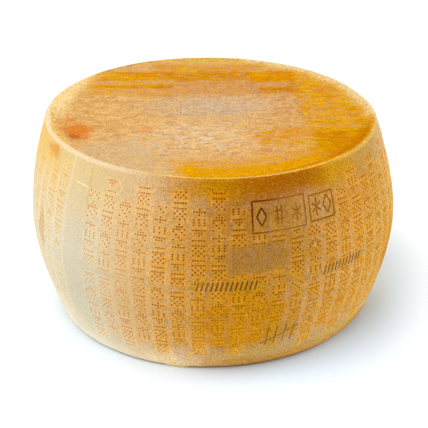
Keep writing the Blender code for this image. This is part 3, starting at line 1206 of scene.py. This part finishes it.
def pit_tint(look, height, pressed):
    """Orange round the pits, and brown in them except on the pale left side."""
    left = rise(look, *LEFT_PITS_BEGIN)
    strong = most(rise(height, 145, 185), rise(height, 85, 50))
    middle = times(between(height, 85, 135, 22), left, 0.35)
    fading = times(rise(height, 115, 60), rise(look, -112, -92), 0.5)
    halo = layer(PIT_HALO, WHITE, left, 0.8)
    deep = layer(PIT, PIT_AMBER, rise(look, -66, -46))
    deep = layer(deep, layer(PIT_PALE, PIT_ORANGE, strong), left)
    deep = layer(deep, PIT_FAINT, rise(look, -130, -146))
    deep = layer(deep, PIT_HALO, most(fading, middle))
    tint = layer(WHITE, halo, rise(pressed, 0, PIT_RIM))
    return layer(tint, deep, rise(pressed, PIT_RIM, 0.9))


def fine_relief(place, shader, depth):
    """Grain too fine for the mesh."""
    bump = node_for("ShaderNodeBump", place)
    bump.inputs["Strength"].default_value = depth
    bump.inputs["Distance"].default_value = 0.6 * MM
    feed(bump.inputs["Height"], plus(noise(place, 1.3, 3), noise(place, 4.5, 2)))
    feed(shader.inputs["Normal"], bump.outputs["Normal"])


def rind_material():
    """Dry, waxy rind with pits."""
    material, tree, shader = new_material("rind")
    place = turned_place(tree)
    angle, height, radius = round_and_up(place)
    look = look_angle(angle)
    pressed = noted(tree, "pressed")["Fac"]
    colour = rind_colour(place, angle, look, height, radius, pressed)
    feed(shader.inputs["Base Color"], tinted(colour, pit_tint(look, height, pressed)))
    feed(shader.inputs["Roughness"], less(0.78, times(noise(place, 9, 3), 0.35)))
    shader.inputs["Specular IOR Level"].default_value = 0.0
    fine_relief(place, shader, 0.55)
    return material


def line_material():
    """Bottom of the pressed lines: darkest in the upper left corner of the stamp."""
    material, tree, shader = new_material("pressed line")
    place = turned_place(tree)
    angle, height, _ = round_and_up(place)
    flat = joined(angle, height)
    colour = stain(LINE_LIGHT, LINE_DARK, 1, flat, (-79, 203), (13, 30), 0.9)
    colour = stain(colour, LINE_DARK, 0.35, flat, (-88, 122), (12, 14), 0.9)
    colour = layer(colour, LINE_FAINT, rise(height, 90, 70))
    tone = plus(times(noise(place, 5, 3), 0.8), 0.6)
    feed(shader.inputs["Base Color"], shaded(colour, tone))
    shader.inputs["Roughness"].default_value = 0.6
    shader.inputs["Specular IOR Level"].default_value = 0.0
    fine_relief(place, shader, 0.4)
    return material


def floor_material():
    """Cool white, with painted shade round the wheel: cooler against the rind's warm light, darker on the
    right.
    """
    material, tree, shader = new_material("floor")
    place = tree.nodes.new("ShaderNodeTexCoord").outputs["Object"]
    # Painted shade: close to the wheel the floor is cooler, and darker on its right as a painted shadow
    near = rise(distance(place), 0.32, 0.19)
    cool = layer(FLOOR_SHADE_LEFT, FLOOR_SHADE_RIGHT, rise(parted(place)[0], -0.16, 0.14))
    colour = layer(FLOOR_WHITE, FLOOR_BRIGHT, noise(place, 0.6))
    feed(shader.inputs["Base Color"], layer(colour, cool, near))
    shader.inputs["Roughness"].default_value = 0.9
    shader.inputs["Specular IOR Level"].default_value = 0.1
    return material


def cheese():
    """The whole wheel as one mesh with its two materials."""
    thing = turn_outline()
    close_faces(thing)
    weather(thing)
    sink_areas(thing)
    thing.data.materials.append(rind_material())
    thing.data.materials.append(line_material())
    press_lines(thing)
    press_pins(thing)
    settle(thing)
    only(thing)
    bpy.ops.object.shade_smooth_by_angle(angle=SHARP_ANGLE)
    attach(thing, "root")
    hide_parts("cheese_wheel")


def photo_camera():
    """A camera at the photograph's angle, above and in front of the wheel."""
    lens = bpy.data.cameras.new("camera")
    lens.sensor_width = SENSOR
    lens.lens = FOCAL_PIXELS / PHOTO_WIDTH * SENSOR
    camera = bpy.data.objects.new("camera", lens)
    bpy.context.scene.collection.objects.link(camera)
    level = math.cos(CAMERA_PITCH)
    heading = Vector((level * math.sin(CAMERA_YAW), level * math.cos(CAMERA_YAW), -math.sin(CAMERA_PITCH)))
    camera.location = CAMERA_PLACE
    camera.rotation_mode = "QUATERNION"
    camera.rotation_quaternion = heading.to_track_quat("-Z", "Y") @ Quaternion((0, 0, 1), CAMERA_ROLL)
    bpy.context.scene.camera = camera


def floor():
    """A white floor, with painted shade round the wheel."""
    bpy.ops.object.select_all(action="DESELECT")
    bpy.ops.mesh.primitive_plane_add(size=FLOOR_SIZE)
    ground = bpy.context.object
    ground.name = "floor"
    ground.data.materials.append(floor_material())


def soft_light(name, azimuth, elevation, power, middle=(0, 0, HEIGHT / 2)):
    """A large soft light that faces the wheel, at angles in degrees seen from it."""
    lamp = bpy.data.lights.new(name, "AREA")
    lamp.shape = "DISK"
    lamp.size = LIGHT_SIZE
    lamp.energy = power
    light = bpy.data.objects.new(name, lamp)
    bpy.context.scene.collection.objects.link(light)
    level = LIGHT_DISTANCE * math.cos(math.radians(elevation))
    arm = Vector((level * math.cos(math.radians(azimuth)), level * math.sin(math.radians(azimuth)),
                  LIGHT_DISTANCE * math.sin(math.radians(elevation))))
    light.location = Vector(middle) + arm
    light.rotation_mode = "QUATERNION"
    light.rotation_quaternion = (-arm).to_track_quat("-Z", "Y")


def studio():
    """A white room with soft lights overhead, low on both sides, and over the floor at the back."""
    world = bpy.data.worlds.new("studio")
    bpy.context.scene.world = world
    world.use_nodes = True
    background = world.node_tree.nodes["Background"]
    background.inputs["Color"].default_value = WHITE
    background.inputs["Strength"].default_value = ROOM_LIGHT
    soft_light("overhead", -120, 68, 32.6)
    soft_light("left", -180, 12, 24.6)
    soft_light("right", 20, 12, 33.6)
    soft_light("backdrop", 90, 60, 20.0, (0, 1.4, 0))
    bpy.context.scene.view_settings.view_transform = "Standard"


cheese()
photo_camera()
floor()
studio()
